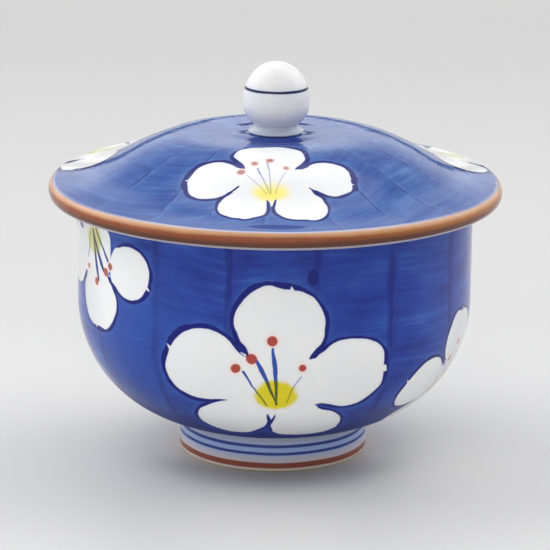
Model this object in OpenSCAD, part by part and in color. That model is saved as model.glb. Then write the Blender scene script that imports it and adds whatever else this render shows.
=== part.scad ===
// Lidded porcelain teacup: a round-bellied bowl on a foot ring, and a loose
// domed lid with a wide brim, an inner locating flange and a turned knob.
// Millimetres, +Z up, origin on the table under the middle of the foot.

/* [Cup] */
// Outer radius of the cup's upright wall
cup_r = 45.4; // [44:0.1:47]
// Height of the cup's lip above the table
cup_h = 61.8; // [56:0.1:70]
// Radius of the arc that rounds the belly into the base
belly_r = 28; // [25:0.5:30]
// Wall thickness where the belly begins
wall_t = 2.6; // [2.3:0.1:3.4]
// Thickness of the rounded lip
lip_t = 2.2; // [1.8:0.1:2.6]
// Thickness of the base inside the foot
floor_t = 3.5; // [2.5:0.1:5]

/* [Foot ring] */
// Outer radius of the foot
foot_r = 21.8; // [20:0.1:25]
// How much the foot narrows towards the bowl
foot_taper = 0.9; // [0:0.1:1.2]
// Wall thickness of the foot at the top
foot_t = 3.4; // [2.8:0.1:4.4]
// Height of the base's underside above the table
foot_h = 8.1; // [6:0.1:10]
// Bevel of the foot's bare lower edges
foot_bevel = 0.6; // [0.4:0.1:1]

/* [Lid] */
// Outer radius of the brim
lid_r = 52; // [51:0.1:55]
// Thickness of the lid's shell
lid_t = 2.9; // [2.5:0.1:3.3]
// Radius of the flat crown under the knob
crown_r = 19; // [17:0.5:21]
// Radius of the shoulder between the crown and the dome
shoulder_arc = 20.5; // [16:0.5:24]
// Steepness, in degrees, where the shoulder turns into the dome
shoulder_a = 14.8; // [12:0.2:18]
// Radius of the dome's convex arc
dome_arc = 40; // [36:1:44]
// Distance from the axis where the dome turns into the brim
turn_r = 35.2; // [34:0.1:37]
// Radius of the brim's hollow arc
brim_arc = 36; // [34:1:42]
// Half the thickness of the rolled edge
edge_w = 1.6; // [1.4:0.1:2]
// Half the height of the rolled edge
edge_h = 2.05; // [1.8:0.05:2.3]
// Running gap between the lid's underside and the lip
seat_gap = 0.15; // [0.1:0.05:0.3]

/* [Flange] */
// Depth that the flange reaches below the cup's lip
flange_d = 4.6; // [3:0.1:7]
// Thickness of the flange
flange_t = 2.2; // [1.8:0.1:2.8]
// Clearance between the flange and the inside of the lip
flange_gap = 1.6; // [1:0.1:2.4]

/* [Knob] */
// Greatest radius of the knob
knob_r = 7.7; // [6.5:0.1:9]
// Height of the knob above its widest ring
knob_up = 9.4; // [8:0.1:11]
// Half height of the lower bulb, if it were complete
knob_down = 6.6; // [6:0.1:7.4]
// Height of the widest ring above the knob's seat
knob_seat = 7; // [6.8:0.1:7.4]
// Fullness of the knob's top, 1 for an ellipse
knob_full = 1.1; // [1:0.05:1.3]
// Radius of the flared base
flare_r = 6.3; // [5.6:0.1:7]
// How far the flare's underside is cut back from its edge
flare_cut = 0.9; // [0.5:0.1:1.4]
// Thickness of the flare's edge
flare_t = 0.7; // [0.6:0.1:0.9]

/* [Hidden] */
$fn = 180;

// Belly arc, outside and inside
belly_c = cup_r - belly_r;
belly_z = foot_h + belly_r;
in_r = cup_r - wall_t;
in_arc = belly_r - 3;
in_c = in_r - in_arc;
in_z = foot_h + floor_t + in_arc;
// Rounded lip
lip_r = lip_t / 2;
lip_c = cup_r - lip_r;
lip_z = cup_h - lip_r;

// Shoulder, dome and brim: arcs that share their tangents
dome_c = crown_r - (dome_arc - shoulder_arc) * sin(shoulder_a);
turn_a = asin((turn_r - dome_c) / dome_arc);
under_arc = brim_arc + lid_t;
brim_c = turn_r + brim_arc * sin(turn_a);
brim_z = lip_z + sqrt(pow(under_arc + lip_r + seat_gap, 2) - pow(brim_c - lip_c, 2));
dome_z = brim_z - (brim_arc + dome_arc) * cos(turn_a);
shoulder_z = dome_z + (dome_arc - shoulder_arc) * cos(shoulder_a);
crown_z = shoulder_z + shoulder_arc;
// Rolled edge of the brim, an upright oval that hangs below the underside
edge_c = lid_r - edge_w;
edge_a = asin((brim_c - edge_c) / brim_arc);
edge_z = brim_z - brim_arc * cos(edge_a) - edge_h;
edge_in = asin((brim_c - edge_c + edge_w) / under_arc);

// Flange
flange_r = cup_r - lip_t - flange_gap;
flange_z = cup_h - flange_d;
flange_top = brim_z - sqrt(pow(under_arc, 2) - pow(brim_c - flange_r, 2)) + 1.6;

// Knob: two half ellipses on a flared base
knob_z = crown_z + knob_seat;
neck_a = 50;
neck_r = knob_r * cos(neck_a);
neck_z = knob_z - knob_down * sin(neck_a);
lower = [for (a = [-neck_a : 5 : -5]) [knob_r * cos(a), knob_z + knob_down * sin(a)]];
upper = [for (a = [0 : 5 : 85]) [knob_r * pow(cos(a), 1 / knob_full), knob_z + knob_up * pow(sin(a), 1 / knob_full)]];
flare_h = neck_z - crown_z - flare_t;
flare = [for (a = [0 : 15 : 75]) [flare_r - (flare_r - neck_r) * sin(a), crown_z + flare_t + flare_h * (1 - cos(a))]];

// Points along an arc, with directions measured from straight up
function arc(cx, cz, r, a0, a1, n) = [for (i = [0 : n]) let (a = a0 + (a1 - a0) * i / n) [cx + r * sin(a), cz + r * cos(a)]];

// The lid's section: crown, dome and brim outside, rolled edge, then back along the inside
module lid_section() {
  polygon(concat(
    [[0, crown_z]],
    arc(crown_r, shoulder_z, shoulder_arc, 0, shoulder_a, 6),
    arc(dome_c, dome_z, dome_arc, shoulder_a + 1.5, turn_a, 12),
    arc(brim_c, brim_z, brim_arc, 180 + turn_a - 0.5, 180 + edge_a + 0.4, 14),
    [for (a = [9 : 16 : 249]) [edge_c + edge_w * sin(a), edge_z + edge_h * cos(a)]],
    arc(brim_c, brim_z, under_arc, 180 + edge_in, 180 + turn_a - 0.5, 14),
    arc(dome_c, dome_z, dome_arc - lid_t, turn_a, shoulder_a + 1.5, 12),
    arc(crown_r, shoulder_z, shoulder_arc - lid_t, shoulder_a, 0, 6),
    [[0, crown_z - lid_t]]
  ));
}

// The bowl filled to a given height: flat base, round belly, upright wall
module filled(c, z, r, base, top, top_r) {
  polygon([[0, base], [c, base], [c, z], [r, z], [top_r, top], [0, top]]);
  translate([c, z]) intersection() {
    circle(r = r - c);
    translate([0, -(r - c)]) square([r - c, r - c]);
  }
}

module cup_body() {
  color([0.20, 0.27, 0.58]) rotate_extrude() {
    difference() {
      filled(belly_c, belly_z, cup_r, foot_h, lip_z, cup_r);
      filled(in_c, in_z, in_r, foot_h + floor_t, lip_z, cup_r - lip_t);
    }
    translate([lip_c, lip_z]) intersection() {
      circle(r = lip_r);
      translate([-lip_r, 0]) square([lip_t, lip_r]);
    }
  }
}

module foot_ring() {
  color([0.72, 0.76, 0.84]) rotate_extrude() difference() {
    polygon([
      [foot_r - foot_t, foot_h + 2],
      [foot_r - foot_t + 0.6, foot_bevel],
      [foot_r - foot_t + 0.6 + foot_bevel, 0],
      [foot_r - foot_bevel, 0],
      [foot_r, foot_bevel],
      [foot_r, 2],
      [foot_r - foot_taper, foot_h + 2],
    ]);
    translate([belly_c, belly_z]) circle(r = belly_r);
  }
}

module lid_shell() {
  color([0.34, 0.42, 0.70]) rotate_extrude() lid_section();
}

module lid_flange() {
  color([0.88, 0.89, 0.90]) rotate_extrude() difference() {
    polygon([
      [flange_r - flange_t + 0.5, flange_z],
      [flange_r - 0.5, flange_z],
      [flange_r, flange_z + 0.5],
      [flange_r, flange_top],
      [flange_r - flange_t, flange_top],
      [flange_r - flange_t, flange_z + 0.5],
    ]);
    lid_section();
  }
}

module lid_knob() {
  color([0.90, 0.91, 0.93]) rotate_extrude()
    polygon(concat([[0, crown_z], [flare_r - flare_cut, crown_z], [flare_r, crown_z + flare_t * 0.4]], flare, lower, upper, [[0, knob_z + knob_up]]));
}

cup_body();
foot_ring();
lid_shell();
lid_flange();
lid_knob();
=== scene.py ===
import math

import bpy
from mathutils import Matrix, Vector


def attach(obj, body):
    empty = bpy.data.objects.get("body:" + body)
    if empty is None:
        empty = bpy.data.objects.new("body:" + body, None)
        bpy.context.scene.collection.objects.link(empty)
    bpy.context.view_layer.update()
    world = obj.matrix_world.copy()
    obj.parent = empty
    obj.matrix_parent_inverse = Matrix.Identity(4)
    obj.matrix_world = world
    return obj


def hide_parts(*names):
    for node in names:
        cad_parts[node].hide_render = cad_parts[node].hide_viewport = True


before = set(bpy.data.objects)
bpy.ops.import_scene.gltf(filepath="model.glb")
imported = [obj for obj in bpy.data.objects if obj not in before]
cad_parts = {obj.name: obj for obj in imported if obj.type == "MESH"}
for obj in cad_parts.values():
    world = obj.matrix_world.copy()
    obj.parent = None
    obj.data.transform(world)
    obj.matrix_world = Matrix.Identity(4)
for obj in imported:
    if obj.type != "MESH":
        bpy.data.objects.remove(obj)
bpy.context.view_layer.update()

MM = 0.001
TAU = 2 * math.pi


def linear(r, g, b):
    """A colour given as it looks on a screen, 0 to 255, as the linear colour that shaders take."""
    out = []
    for c in (r, g, b):
        c /= 255
        out.append(c / 12.92 if c <= 0.04045 else ((c + 0.055) / 1.055) ** 2.4)
    return (*out, 1.0)


# ---------------------------------------------------------------- node formulas


class Val:
    """A value in a node tree, so that a formula in Python reads as one."""

    def __init__(self, net, socket):
        self.net, self.socket = net, socket

    def __add__(self, o):
        return self.net.math("ADD", self, o)

    def __radd__(self, o):
        return self.net.math("ADD", o, self)

    def __sub__(self, o):
        return self.net.math("SUBTRACT", self, o)

    def __rsub__(self, o):
        return self.net.math("SUBTRACT", o, self)

    def __mul__(self, o):
        return self.net.math("MULTIPLY", self, o)

    def __rmul__(self, o):
        return self.net.math("MULTIPLY", o, self)

    def __truediv__(self, o):
        return self.net.math("DIVIDE", self, o)

    def __neg__(self):
        return self.net.math("MULTIPLY", self, -1.0)


class Net:
    """Adds nodes to a tree."""

    def __init__(self, tree):
        self.tree = tree

    def node(self, kind, **props):
        n = self.tree.nodes.new(kind)
        for k, v in props.items():
            setattr(n, k, v)
        return n

    def put(self, socket, value):
        if isinstance(value, Val):
            self.tree.links.new(value.socket, socket)
        else:
            socket.default_value = value

    def math(self, op, *args, clamp=False):
        n = self.node("ShaderNodeMath", operation=op, use_clamp=clamp)
        for socket, value in zip(n.inputs, args):
            self.put(socket, value)
        return Val(self, n.outputs[0])

    def low(self, a, b):
        return self.math("MINIMUM", a, b)

    def high(self, a, b):
        return self.math("MAXIMUM", a, b)

    def madd(self, a, b, c):
        return self.math("MULTIPLY_ADD", a, b, c)

    def unit(self, a):
        return self.math("ADD", a, 0.0, clamp=True)

    def vec(self, x, y, z):
        n = self.node("ShaderNodeCombineXYZ")
        for socket, value in zip(n.inputs, (x, y, z)):
            self.put(socket, value)
        return Val(self, n.outputs[0])

    def parts(self, v):
        n = self.node("ShaderNodeSeparateXYZ")
        self.put(n.inputs[0], v)
        return [Val(self, o) for o in n.outputs]

    def length(self, x, y, z=0.0):
        n = self.node("ShaderNodeVectorMath", operation="LENGTH")
        self.put(n.inputs[0], self.vec(x, y, z))
        return Val(self, n.outputs["Value"])

    def rise(self, lo, hi, v):
        """0 below lo, 1 above hi, smooth between."""
        n = self.node("ShaderNodeMapRange", interpolation_type="SMOOTHSTEP")
        for name, value in (("Value", v), ("From Min", lo), ("From Max", hi)):
            self.put(n.inputs[name], value)
        return Val(self, n.outputs["Result"])

    def fall(self, lo, hi, v):
        """1 below lo, 0 above hi, smooth between."""
        n = self.node("ShaderNodeMapRange", interpolation_type="SMOOTHSTEP")
        for name, value in (("Value", v), ("From Min", lo), ("From Max", hi), ("To Min", 1.0), ("To Max", 0.0)):
            self.put(n.inputs[name], value)
        return Val(self, n.outputs["Result"])

    def noise(self, vector, scale=1.0, detail=2.0, rough=0.5, colour=False):
        n = self.node("ShaderNodeTexNoise", noise_dimensions="3D")
        self.put(n.inputs["Vector"], vector)
        for name, value in (("Scale", scale), ("Detail", detail), ("Roughness", rough)):
            self.put(n.inputs[name], value)
        return Val(self, n.outputs["Color" if colour else "Fac"])

    def curve(self, v, points):
        """A smooth curve through points, x and y from 0 to 1."""
        n = self.node("ShaderNodeFloatCurve")
        c = n.mapping.curves[0]
        points = sorted(points)
        c.points[0].location, c.points[1].location = points[0], points[-1]
        for x, y in points[1:-1]:
            c.points.new(x, y)
        for p in c.points:
            p.handle_type = "AUTO"
        n.mapping.update()
        self.put(n.inputs["Value"], v)
        return Val(self, n.outputs["Value"])

    def mix(self, factor, a, b):
        n = self.node("ShaderNodeMix", data_type="RGBA")
        for name, value in (("Factor_Float", factor), ("A_Color", a), ("B_Color", b)):
            socket = next(s for s in n.inputs if s.identifier == name)
            self.put(socket, value)
        return Val(self, next(s for s in n.outputs if s.identifier == "Result_Color"))

    def group(self, tree, **values):
        n = self.node("ShaderNodeGroup")
        n.node_tree = tree
        for name, value in values.items():
            self.put(n.inputs[name], value)
        return {o.name: Val(self, o) for o in n.outputs}


def new_group(name, inputs, outputs):
    tree = bpy.data.node_groups.new(name, "ShaderNodeTree")
    for n in inputs:
        tree.interface.new_socket(name=n, in_out="INPUT", socket_type="NodeSocketFloat")
    for n in outputs:
        tree.interface.new_socket(name=n, in_out="OUTPUT", socket_type="NodeSocketFloat")
    net = Net(tree)
    source = net.node("NodeGroupInput")
    sink = net.node("NodeGroupOutput")
    return tree, net, {o.name: Val(net, o) for o in source.outputs if o.name}, sink


def new_material(name):
    m = bpy.data.materials.new(name)
    m.use_nodes = True
    m.node_tree.nodes.clear()
    net = Net(m.node_tree)
    shader = net.node("ShaderNodeBsdfPrincipled")
    out = net.node("ShaderNodeOutputMaterial")
    net.tree.links.new(shader.outputs[0], out.inputs[0])
    return m, net, shader


# ---------------------------------------------------------------- the blossom


def blossom(
    name, petals, spikes, eye, stamens, anthers, strokes, soft=0.13, tip_soft=0.15, eye_soft=0.16,
    other=None, faint=None, bold=None,
):
    """A five-petalled blossom on a plane of u to the right and v up, in mm.

    A petal is (u, v, outward direction, [(degrees from that direction, radius, width of its outline)]).
    A spike is white and breaks an outline, a stroke is dark and lies over the white; both, and a stamen, are
    (u0, v0, u1, v1, width at each end, bend). eye is the yellow heart (u, v, half width, half height);
    an anther is (u, v, radius). On the blossom of one seed, other = (seed, {petal: (u, v, scale, greatest radius)},
    {spike: (u, v)}, {anther: (u, v)}, strength of the heart) moves and shrinks petals, moves spikes and anthers and
    draws broader stamens, and faint = (seed, u, v, anther) makes the heart paler, moves the anthers by u, v and leaves
    one of them out. bold = (seed, width) widens the outlines of the seeds above it and makes their hearts paler."""
    tree, g, inp, sink = new_group(
        name, ["U", "V", "Seed"], ["White", "Line", "Halo", "Edge", "Yellow", "Stamen", "Anther", "Tone"]
    )
    # A hand-held brush wavers a little
    wave = g.parts(g.noise(g.vec(inp["U"], inp["V"], inp["Seed"] * 9.0), 0.3, 2.0, 0.55, colour=True))
    u = g.madd(wave[0] - 0.5, 0.45, inp["U"])
    v = g.madd(wave[1] - 0.5, 0.45, inp["V"])
    inner = outer = None
    if other:
        this = g.math("COMPARE", inp["Seed"], other[0], 0.1)
    for k, (pu, pv, out, ring) in enumerate(petals):
        du, dv = u - pu, v - pv
        if other and k in other[1]:
            mu, mv, size, most = other[1][k]
            du, dv = g.madd(this, -mu, du), g.madd(this, -mv, dv)
        turn = g.madd(g.math("ARCTAN2", dv, du), 1 / TAU, -out / 360)
        t = g.math("WRAP", turn, 0.5, -0.5) + 0.5
        edge = g.curve(t, [(a / 360 + 0.5, r / 20) for a, r, w in ring]) * 20.0
        if other and k in other[1]:
            edge = g.low(edge * g.madd(this, size - 1.0, 1.0), g.madd(this, most - 20.0, 20.0))
        width = g.curve(t, [(a / 360 + 0.5, (w + 0.5) / 3) for a, r, w in ring])
        d = g.length(du, dv) - edge
        e = d - g.madd(width, 3.0, -0.5)
        inner = d if inner is None else g.low(inner, d)
        outer = e if outer is None else g.low(outer, e)

    def along(u0, v0, u1, v1, w0, w1, bend, move=None):
        """Distance outside a tapering stroke."""
        ex, ey = u1 - u0, v1 - v0
        size = math.hypot(ex, ey)
        ex, ey = ex / size, ey / size
        du, dv = u - u0, v - v0
        if move:
            du, dv = g.madd(this, -move[0], du), g.madd(this, -move[1], dv)
        run = g.madd(du, ex, dv * ey)
        side = g.madd(du, -ey, dv * ex)
        h = g.unit(run / size)
        if bend:
            side = side - h * (1.0 - h) * (4.0 * bend)
        return g.length(side, run - h * size) - g.madd(h, (w1 - w0) / 2, w0 / 2)

    for k, s in enumerate(spikes):
        inner = g.low(inner, along(*s, move=other[2].get(k) if other else None))
    if bold:
        strong = g.math("GREATER_THAN", inp["Seed"], bold[0])
        outer = g.madd(strong, -bold[1], outer - 0.12)
    white = g.fall(-soft, soft, inner)
    line = g.fall(-soft, soft, outer) * (1.0 - white)
    halo = g.fall(0.1, 1.9, outer)
    rim = g.rise(-1.0, 0.0, inner)
    dark = None
    for s in strokes:
        d = along(*s)
        dark = d if dark is None else g.low(dark, d)
    if dark is not None:
        drawn = g.fall(-soft, soft, dark)
        line = g.high(line, drawn)
        white = white * (1.0 - drawn)
    rods = None
    for *s, strength in stamens:
        d = along(*s)
        if other:
            d = g.madd(this, -0.2, d)
        a = g.fall(-soft, soft, d) * strength
        rods = a if rods is None else g.high(rods, a)
    eu, ev, ew, eh = eye
    ragged = g.noise(g.vec(u, v, 3.0), 0.7, 2.0)
    heart = g.length((u - eu) / ew, (v - ev) / eh)
    yellow = g.fall(0.96 - eye_soft, 0.96 + eye_soft, g.madd(ragged - 0.5, 0.22, heart))
    if other:
        yellow = yellow * g.madd(this, other[4] - 1.0, 1.0)
    if bold:
        fade = g.fall(ev - 0.2 * eh, ev + 1.3 * eh, v)
        yellow = yellow * g.high(fade, strong) * g.madd(strong, -0.25, 1.0)
    tu, tv = u, v
    if faint:
        pale = g.math("COMPARE", inp["Seed"], faint[0], 0.1)
        tu, tv = g.madd(pale, -faint[1], u), g.madd(pale, -faint[2], v)
        rods = rods * g.madd(pale, -0.55, 1.0)
        yellow = yellow * g.madd(pale, -0.35, 1.0)
    tips = tone = None
    for k, (au, av, ar) in enumerate(anthers):
        ou, ov = tu - au, tv - av
        if other and k in other[3]:
            ou, ov = g.madd(this, -other[3][k][0], ou), g.madd(this, -other[3][k][1], ov)
        off = g.length(ou, ov) - ar
        if faint and faint[3] == k:
            off = g.madd(pale, 9.0, off)
        a, b = g.fall(-tip_soft, tip_soft, off), g.fall(0.0, 1.0, off)
        tips = a if tips is None else g.high(tips, a)
        tone = b if tone is None else g.high(tone, b)
    if faint:
        tips = tips * g.madd(pale, -0.35, 1.0)
    for key, value in (
        ("White", white),
        ("Line", line),
        ("Halo", halo),
        ("Edge", rim),
        ("Yellow", yellow),
        ("Stamen", rods),
        ("Anther", tips),
        ("Tone", tone),
    ):
        g.put(sink.inputs[key], value)
    return tree


CUP_BLOSSOM = blossom(
    "cup_blossom",
    petals=[
        (1.8, 4.5, 88, [
            (-180, 16, -0.4), (-150, 12, -0.3), (-140, 10, 0.2), (-132, 8.7, 1.1), (-120, 8.7, 1.2), (-110, 9.2, 1.0),
            (-100, 9.5, 0.8), (-90, 9.4, 1.0), (-75, 9.7, 1.0), (-60, 9.7, 0.9), (-50, 9.8, 0.6), (-40, 9.8, 0.7),
            (-30, 9.6, 0.8), (-20, 9.4, 1.1), (-12, 9.2, 1.3), (0, 9.1, 1.6), (10, 9.6, 1.3), (20, 10.4, 0.9),
            (30, 10.6, 1.2), (40, 10.6, 1.4), (50, 10.6, 1.3), (60, 10.7, 1.2), (70, 10.8, 1.1), (80, 10.7, 1.0),
            (90, 10.4, 0.9), (100, 9.8, 1.1), (110, 9.4, 1.2), (120, 8.9, 1.1), (130, 9.2, 0.8), (137, 10, 0.2),
            (152, 12.5, -0.3), (180, 16, -0.4)]),
        (-15.3, -5, 159, [
            (-180, 17, -0.4), (-152, 12.5, -0.3), (-143, 10.4, 0.3), (-135, 9.0, 0.9), (-125, 8.5, 1.0), (-110, 8.6, 1.0),
            (-100, 8.7, 0.8), (-80, 8.8, 1.1), (-60, 8.9, 1.2), (-50, 9.0, 1.1), (-40, 9.0, 1.4), (-30, 9.0, 1.5),
            (-20, 9.0, 1.6), (-10, 9.1, 1.5), (0, 9.2, 1.1), (10, 9.3, 1.5), (20, 9.6, 1.3), (30, 9.8, 1.0),
            (40, 9.7, 0.9), (50, 9.6, 1.0), (70, 9.3, 1.0), (80, 9.0, 1.1), (90, 8.9, 1.2), (110, 8.7, 1.1),
            (120, 8.8, 1.0), (130, 8.9, 0.7), (140, 9.5, 0.3), (148, 11, -0.2), (160, 13.5, -0.4), (180, 17, -0.4)]),
        (16, -6.5, 17, [
            (-180, 16, -0.4), (-156, 12.5, -0.4), (-148, 10.6, -0.1), (-140, 9.2, 0.6), (-130, 8.9, 0.9),
            (-120, 9.0, 0.8), (-110, 9.3, 0.6), (-100, 9.3, 0.8), (-80, 9.3, 0.9), (-60, 9.3, 0.8), (-50, 9.6, 0.6),
            (-40, 10.0, 0.7), (-30, 9.9, 1.0), (-20, 9.7, 1.2), (-10, 9.7, 1.3), (0, 10.1, 1.2), (10, 10.5, 0.8),
            (20, 10.3, 0.6), (30, 9.7, 0.8), (40, 9.2, 0.6), (50, 8.7, 0.7), (60, 8.4, 0.7), (70, 8.2, 0.6),
            (80, 8.1, 0.7), (90, 8.0, 0.7), (100, 7.8, 0.8), (110, 7.6, 1.0), (120, 7.8, 1.1), (130, 8.2, 1.0),
            (138, 9.4, 0.3), (152, 12.5, -0.3), (180, 16, -0.4)]),
        (-8.5, -20, 223, [
            (-180, 12.8, -0.4), (-145, 9.4, -0.3), (-130, 7.8, -0.1), (-118, 6.8, 0.3), (-105, 6.8, 0.7), (-90, 7.1, 0.9),
            (-80, 7.4, 1.0), (-70, 7.9, 1.1), (-60, 8.4, 0.9), (-50, 8.6, 0.9), (-40, 8.4, 0.9), (-30, 8.1, 0.8),
            (-20, 7.7, 0.7), (-10, 7.3, 0.6), (10, 6.9, 0.6), (30, 6.9, 0.5), (50, 7.3, 0.5), (70, 7.4, 0.6),
            (80, 7.2, 0.7), (100, 7.0, 0.8), (110, 7.2, 0.8), (120, 7.4, 0.7), (130, 7.4, 0.6), (142, 7.4, 0.5),
            (150, 7.4, 0.2), (160, 9, -0.3), (180, 12.8, -0.4)]),
        (7.5, -20, 307, [
            (-180, 11, -0.4), (-155, 8.6, -0.3), (-145, 7.3, 0.1), (-137, 7.0, 0.5), (-130, 7.1, 0.6), (-120, 7.5, 0.6),
            (-110, 8.1, 0.6), (-100, 8.5, 0.7), (-90, 9.2, 0.7), (-80, 9.4, 0.6), (-70, 9.3, 0.5), (-60, 8.9, 0.5),
            (-50, 8.6, 0.5), (-30, 8.3, 0.5), (-10, 8.4, 0.6), (10, 8.4, 0.8), (20, 8.4, 0.9), (30, 8.2, 0.9),
            (40, 8.1, 0.8), (50, 7.9, 0.8), (60, 7.5, 0.8), (70, 7.0, 0.8), (80, 6.3, 0.8), (90, 5.6, 0.8),
            (100, 5.1, 0.8), (110, 5.0, 0.7), (120, 5.5, 0.1), (143, 7.5, -0.4), (180, 11, -0.4)]),
    ],
    spikes=[
        (3.9, 13.2, 3.8, 14.2, 1.2, 0.1, 0.0),
        (-23.7, -1.7, -24.5, -0.8, 0.9, 0.15, 0.0),
        (25.7, -6.6, 26.5, -7.1, 2.2, 0.15, 0.0),
        (-0.15, -16.4, -0.2, -19.6, 2.2, 0.1, 0.0),
        (-6.2, -1.5, -7.1, -0.9, 0.4, 0.15, 0.0),
        (1.1, -4.6, 0.5, -11.0, 7.0, 7.8, 0.0),
    ],
    eye=(0.65, -11.6, 4.9, 4.3),
    stamens=[
        (-0.18, 0.2, 0.25, -3.2, 0.55, 1.15, 0.0, 1.0),
        (0.25, -3.2, 0.8, -13.9, 1.15, 0.4, 0.1, 1.0),
        (-3.75, -2.5, -2.75, -4.5, 0.6, 1.1, 0.0, 1.0),
        (-2.75, -4.5, 0.78, -13.8, 1.1, 0.4, 0.1, 1.0),
        (-6.6, -5.5, -4.65, -9.0, 0.6, 0.42, 0.05, 1.0),
        (-4.65, -9.0, -1.28, -14.6, 0.42, 0.28, 0.15, 0.95),
        (6.17, -6.5, 3.08, -13.6, 0.34, 0.3, -0.45, 0.6),
        (0.78, -13.7, 0.84, -14.2, 0.6, 0.6, 0.0, 1.0),
    ],
    anthers=[(-0.3, 1.9, 1.16), (-4.8, -2.3, 1.2), (-8.3, -4.7, 1.12), (6.4, -4.4, 0.82)],
    strokes=[(9.0, -1.6, 10.6, 0.0, 1.2, 1.2, 0.0)],
    other=(
        1.0, {1: (-0.3, 2.8, 0.871, 8.4), 3: (5.0, 0.0, 1.0, 20.0)}, {1: (1.4, 3.8), 5: (-5.6, -0.5)},
        {0: (1.5, -1.3), 2: (0.8, 0.8), 3: (-0.3, 0.8)}, 0.74,
    ),
    faint=(2.0, 1.9, 1.9, 2),
)

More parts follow.
